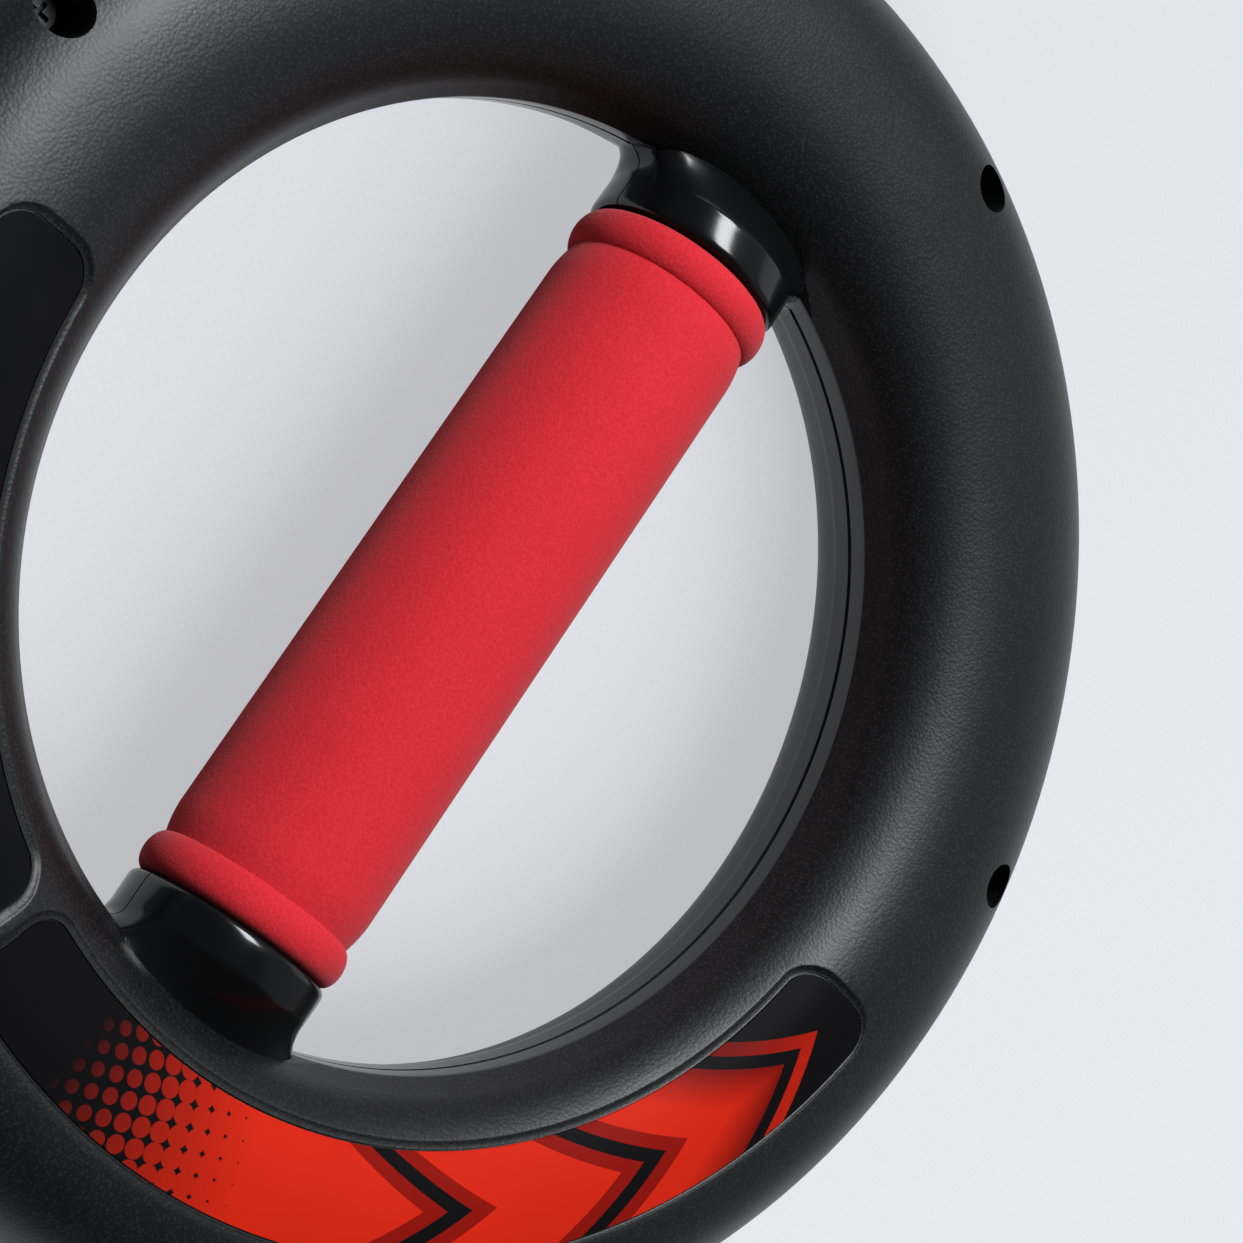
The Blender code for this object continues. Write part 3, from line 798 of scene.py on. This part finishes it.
def shell_finish(grain):
    """Spark-textured black plastic, polished on the collars and on the band round the hole."""
    material, tree, shader, place = new_material("textured_black_plastic")
    _, y, _, radius, _ = round_ring(tree, place)
    aside = calc(tree, "ABSOLUTE", calc(tree, "DIVIDE", y, LANDING_HALF_WIDTH))
    aside = calc(tree, "MINIMUM", aside, 1.0)
    spread = calc(tree, "SUBTRACT", 1.0, calc(tree, "POWER", aside, LANDING_FULLNESS))
    spread = calc(tree, "POWER", spread, SECTION_FULLNESS / LANDING_FULLNESS)
    inside = calc(tree, "SUBTRACT", radius, calc(tree, "MULTIPLY", spread, LANDING_SPREAD))
    textured = ramp(tree, inside, POLISH_RADIUS, POLISH_RADIUS + POLISH_EDGE)
    grains = use_grain(tree, grain, place, SHELL_GRAIN)
    strength, depth = SHELL_RELIEF
    bump(tree, shader, grains["Pebbles"], calc(tree, "MULTIPLY", textured, strength), depth)
    rough = ramp(tree, grains["Blotch"], 0.0, 1.0, *SHELL_ROUGHNESS)
    rougher = calc(tree, "SUBTRACT", rough, POLISHED_ROUGHNESS)
    feed(tree, shader.inputs["Roughness"],
         calc(tree, "MULTIPLY_ADD", textured, rougher, POLISHED_ROUGHNESS))
    # Paler specks on the pebble tops: grain tone that also stands in as painted sparkle of the highlights on
    # the grain.
    dark, pale = (colour(*tone) for tone in SHELL_AND_SPARKLE_TONES)
    tone = blend_colour(tree, ramp(tree, grains["Pebbles"], *PAINTED_SPARKLE_SPECKS), dark, pale)
    feed(tree, shader.inputs["Base Color"], blend_colour(tree, textured, colour(*POLISHED_TONE), tone))
    return material


def stripe(tree, distance, low, high):
    """1 where the distance is between low and high, with a slightly soft edge."""
    return calc(tree, "MULTIPLY", ramp(tree, distance, low - PRINT_EDGE, low + PRINT_EDGE),
                ramp(tree, distance, high - PRINT_EDGE, high + PRINT_EDGE, 1, 0))


def behind_arrow(tree, angle, radius, tip):
    """Distance behind an arrow's front edge, along the ring."""
    along = calc(tree, "MULTIPLY", calc(tree, "SUBTRACT", math.radians(tip - 180), angle), PRINT_RADIUS)
    aside = calc(tree, "ABSOLUTE", calc(tree, "SUBTRACT", radius, ARROW_RADIUS))
    return calc(tree, "SUBTRACT", along, calc(tree, "MULTIPLY", aside, ARROW_SLOPE))


def halftone(tree, x, y, angle):
    """Share of red in the fade from black, made of dots that grow along the label."""
    turn = math.radians(DOT_TURN)
    cells = []
    for across, upward in ((math.cos(turn), math.sin(turn)), (-math.sin(turn), math.cos(turn))):
        run = calc(tree, "ADD", calc(tree, "MULTIPLY", x, across / DOT_PITCH),
                   calc(tree, "MULTIPLY", y, upward / DOT_PITCH))
        cell = calc(tree, "SUBTRACT", calc(tree, "FRACT", run), 0.5)
        cells.append(calc(tree, "MULTIPLY", cell, cell))
    from_dot = calc(tree, "SQRT", calc(tree, "ADD", *cells))
    growth_start, growth_end = (math.radians(value - 180) for value in DOT_GROWTH)
    size = ramp(tree, angle, growth_start, growth_end, *DOT_SIZES)
    dots = ramp(tree, calc(tree, "SUBTRACT", size, from_dot), -DOT_SOFTNESS, DOT_SOFTNESS)
    fade_start, fade_end = (math.radians(value - 180) for value in DOT_FADE)
    return calc(tree, "MULTIPLY", dots, ramp(tree, angle, fade_start, fade_end))


def print_finish(grain):
    """Glossy print: a halftone fade from black into orange-red, with arrows that run to the far end."""
    material, tree, shader, place = new_material("orange_red_print")
    red, dark_red = colour(*PRINT_RED), colour(*PRINT_DARK_RED)
    deep_red, black = colour(*PRINT_DEEP_RED), colour(*PRINT_BLACK)
    x, y, _, radius, angle = round_ring(tree, place)
    shown = blend_colour(tree, halftone(tree, x, y, angle), black, red)
    for tip in ARROW_TIPS:
        behind = behind_arrow(tree, angle, radius, tip)
        shown = blend_colour(tree, stripe(tree, behind, 0.0, 3 * ARROW_STRIPE), shown, dark_red)
        shown = blend_colour(tree, stripe(tree, behind, ARROW_STRIPE, 2 * ARROW_STRIPE), shown, black)
    behind = behind_arrow(tree, angle, radius, LAST_ARROW_TIP)
    dusk_start = 2 * LAST_ARROW_STRIPE
    dusk_end = dusk_start + DUSK_LENGTH
    dusk = calc(tree, "MULTIPLY", stripe(tree, behind, dusk_start, dusk_end),
                ramp(tree, behind, dusk_start, dusk_end, DUSK_STRENGTH, 0))
    shown = blend_colour(tree, dusk, shown, deep_red)
    # Painted shade: the last arrow runs from deep red at the label's inner edge to red further out.
    painted_light_share = ramp(tree, radius, LABEL_INNER + LAST_ARROW_PAINTED_LIGHT_MARGIN, ARROW_RADIUS + LAST_ARROW_PAINTED_LIGHT_MARGIN, *LAST_ARROW_PAINTED_LIGHT)
    last_arrow_painted_shading = blend_colour(tree, painted_light_share, deep_red, red)
    shown = blend_colour(tree, stripe(tree, behind, 0.0, LAST_ARROW_STRIPE), shown, last_arrow_painted_shading)
    shown = blend_colour(tree, stripe(tree, behind, LAST_ARROW_STRIPE, dusk_start), shown, black)
    shown = blend_colour(tree, ramp(tree, behind, -PRINT_EDGE, PRINT_EDGE, 1, 0), shown, black)
    grains = use_grain(tree, grain, place, LABEL_GRAIN)
    shade = blend_colour(tree, calc(tree, "MULTIPLY", grains["Blotch"], PRINT_WEAR), shown, black)
    # Glossy rays see the print darker: painted darkening of its reflection.
    feed(tree, shader.inputs["Base Color"], blend_colour(tree, painted_reflection_dimming(tree), shade, black))
    feed(tree, shader.inputs["Roughness"], ramp(tree, grains["Blotch"], 0.0, 1.0, *LABEL_ROUGHNESS))
    shader.inputs["Specular IOR Level"].default_value = LABEL_SHINE
    bump(tree, shader, grains["Height"], *LABEL_RELIEF)
    return material


def plain_finish(name, grain, fineness, tones, roughness, relief, blotches=BLOTCH_MIDDLE):
    """Material whose tone and roughness follow soft blotches, over a fine relief."""
    material, tree, shader, place = new_material(name)
    grains = use_grain(tree, grain, place, fineness)
    feed(tree, shader.inputs["Base Color"], blend_colour(tree, grains["Blotch"], *tones))
    feed(tree, shader.inputs["Roughness"], ramp(tree, grains["Blotch"], *blotches, *roughness))
    bump(tree, shader, grains["Height"], *relief)
    return material, shader


def plain_label_finish(grain):
    """Glossy black print with faint handling marks."""
    tones = [colour(*tone) for tone in PLAIN_LABEL_TONES]
    material, shader = plain_finish("black_print", grain, LABEL_GRAIN, tones, LABEL_ROUGHNESS,
                                    LABEL_RELIEF, (0.0, 1.0))
    shader.inputs["Specular IOR Level"].default_value = LABEL_SHINE
    return material


def foam_finish(grain):
    """Matt red foam rubber with open, fine pores."""
    material, tree, shader, place = new_material("red_foam")
    grains = use_grain(tree, grain, place, FOAM_GRAIN)
    deep, pale = (colour(*tone) for tone in FOAM_TONES)
    tone = blend_colour(tree, ramp(tree, grains["Height"], *FOAM_PORES), deep, pale)
    blotching = calc(tree, "MULTIPLY", grains["Blotch"], FOAM_BLOTCHING)
    tone = blend_colour(tree, blotching, tone, colour(*FOAM_BLOTCH_TONE))
    # Glossy rays see the foam darker: painted darkening of its reflection in the black plastic.
    feed(tree, shader.inputs["Base Color"],
         blend_colour(tree, painted_reflection_dimming(tree), tone, colour(*FOAM_PAINTED_REFLECTION_TONE)))
    feed(tree, shader.inputs["Roughness"], ramp(tree, grains["Blotch"], 0.0, 1.0, *FOAM_ROUGHNESS))
    shader.inputs["Sheen Weight"].default_value = FOAM_SHEEN
    shader.inputs["Sheen Roughness"].default_value = FOAM_SHEEN_ROUGHNESS
    shader.inputs["Specular IOR Level"].default_value = FOAM_SHINE
    bump(tree, shader, grains["Height"], *FOAM_RELIEF)
    return material


def metal_finish(name, grain, fineness, tint, roughness):
    """Metal with a fine finish and faint tarnish."""
    tones = (*tint, 1.0), (*(TARNISH * part for part in tint), 1.0)
    material, shader = plain_finish(name, grain, fineness, tones, roughness, METAL_RELIEF)
    shader.inputs["Metallic"].default_value = 1.0
    return material


def screw_finish(grain):
    """Black paint on the screws, worn a little paler in patches."""
    tones = [colour(*tone) for tone in PAINT_TONES]
    return plain_finish("screw_paint", grain, PAINT_GRAIN, tones, PAINT_ROUGHNESS, METAL_RELIEF)[0]


def plug_finish(grain):
    """Plain black moulding for the hidden plugs."""
    tones = [colour(*tone) for tone in PLUG_TONES]
    return plain_finish("plug_plastic", grain, PLUG_GRAIN, tones, PLUG_ROUGHNESS, PLUG_RELIEF)[0]


def floor_finish():
    """Pale sheet with a very fine crossed weave."""
    material, tree, shader, place = new_material("pale_floor")
    threads = []
    for turn in WEAVE_TURNS:
        mapping = new_node(tree, "ShaderNodeMapping")
        mapping.inputs["Rotation"].default_value = (0, 0, math.radians(turn))
        feed(tree, mapping.inputs["Vector"], place)
        wave = new_node(tree, "ShaderNodeTexWave", wave_type="BANDS", bands_direction="X")
        feed(tree, wave.inputs["Vector"], mapping.outputs["Vector"])
        wave.inputs["Scale"].default_value = WEAVE_SCALE
        wave.inputs["Distortion"].default_value = WEAVE_DISTORTION
        threads.append(wave.outputs["Fac"])
    weave = calc(tree, "MULTIPLY", *threads)
    feed(tree, shader.inputs["Base Color"], blend_colour(tree, weave, *FLOOR_TONES))
    shader.inputs["Roughness"].default_value = FLOOR_ROUGHNESS
    bump(tree, shader, weave, *WEAVE_RELIEF)
    light_path = new_node(tree, "ShaderNodeLightPath").outputs
    seen = calc(tree, "MAXIMUM", light_path["Is Camera Ray"], light_path["Is Glossy Ray"])
    seen = calc(tree, "MAXIMUM", seen, light_path["Is Transmission Ray"])
    glow = new_node(tree, "ShaderNodeEmission")
    glow.inputs["Color"].default_value = FLOOR_GLOW_COLOUR
    mix = new_node(tree, "ShaderNodeMixShader")
    feed(tree, mix.inputs["Fac"], calc(tree, "MULTIPLY", seen, FLOOR_GLOW))
    tree.links.new(shader.outputs["BSDF"], mix.inputs[1])
    tree.links.new(glow.outputs["Emission"], mix.inputs[2])
    tree.links.new(mix.outputs["Shader"], tree.nodes["Material Output"].inputs["Surface"])
    return material


def put_on(piece, material):
    piece.data.materials.clear()
    piece.data.materials.append(material)


# Stage

def make_floor():
    deselect()
    bpy.ops.mesh.primitive_plane_add(size=FLOOR_SIZE)
    floor = start("floor")
    put_on(floor, floor_finish())
    return floor


def make_walls():
    """Studio walls that are paler on one side."""
    world = bpy.data.worlds.new("studio")
    bpy.context.scene.world = world
    world.use_nodes = True
    tree = world.node_tree
    background = tree.nodes["Background"]
    background.inputs["Color"].default_value = (*COOL_WHITE, 1.0)
    facing = new_node(tree, "ShaderNodeVectorMath", operation="DOT_PRODUCT")
    feed(tree, facing.inputs[0], new_node(tree, "ShaderNodeTexCoord").outputs["Generated"])
    facing.inputs[1].default_value = PALE_SIDE
    strength = ramp(tree, facing.outputs["Value"], *PALE_SIDE_EDGE, *STUDIO_STRENGTH)
    feed(tree, background.inputs["Strength"], strength)


def make_lamps(floor):
    """Softboxes round the ring: one lights the floor alone, the others all but the floor."""
    lit_floor = bpy.data.collections.new("lit_floor")
    lit_floor.objects.link(floor)
    lit_object = bpy.data.collections.new("lit_object")
    lit_object.objects.link(floor)
    lit_object.collection_objects[0].light_linking.link_state = "EXCLUDE"
    middle = Vector((0, 0, MID_HEIGHT))
    for name, (direction, distance, width, length, power) in LAMPS.items():
        light = bpy.data.lights.new(name, "AREA")
        light.shape = "RECTANGLE"
        light.size = width
        light.size_y = length
        light.energy = power
        light.color = COOL_WHITE
        lamp = bpy.data.objects.new(name, light)
        bpy.context.scene.collection.objects.link(lamp)
        towards = Vector(direction).normalized()
        lamp.location = middle + towards * distance
        lamp.rotation_euler = towards.to_track_quat("Z", "Y").to_euler()
        lamp.light_linking.receiver_collection = lit_floor if name == "floor_softbox" else lit_object


def make_camera():
    right, up = Vector(CAMERA_RIGHT), Vector(CAMERA_UP)
    camera = bpy.data.objects.new("camera", bpy.data.cameras.new("camera"))
    camera.data.sensor_width = SENSOR_WIDTH
    camera.data.lens = CAMERA_LENS
    camera.data.clip_start = CLIP_START
    turn = Matrix((right, up, right.cross(up))).transposed().to_4x4()
    camera.matrix_world = Matrix.Translation(CAMERA_PLACE) @ turn
    bpy.context.scene.collection.objects.link(camera)
    bpy.context.scene.camera = camera


def dress():
    grain = grain_group()
    shell_plastic = shell_finish(grain)
    for node, shell in make_shells().items():
        put_on(shell, shell_plastic)
        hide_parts(node)
        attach(shell, "ring")
    for node, finish, slot in (("label_left", plain_label_finish, "black_label"),
                               ("label_lower", print_finish, "red_label")):
        label = make_label(node)
        put_on(label, finish(grain))
        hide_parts(node)
        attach(label, "ring")
    grip = make_grip()
    put_on(grip, foam_finish(grain))
    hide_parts("foam_grip")
    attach(grip, "ring")
    steel = metal_finish("tube_steel", grain, TUBE_GRAIN, TUBE_STEEL, TUBE_ROUGHNESS)
    screw_paint = screw_finish(grain)
    ball_steel = metal_finish("ball_steel", grain, BALL_GRAIN, BALL_STEEL, BALL_ROUGHNESS)
    plug_plastic = plug_finish(grain)
    for name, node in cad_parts.items():
        if name == "handle_tube":
            put_on(node, steel)
        elif name == "rolling_ball":
            put_on(node, ball_steel)
        elif name.startswith("case_screw"):
            put_on(node, screw_paint)
        elif name.startswith("handle_plug"):
            put_on(node, plug_plastic)


def main():
    dress()
    make_walls()
    make_lamps(make_floor())
    make_camera()
    bpy.context.scene.view_settings.view_transform = "Standard"


main()
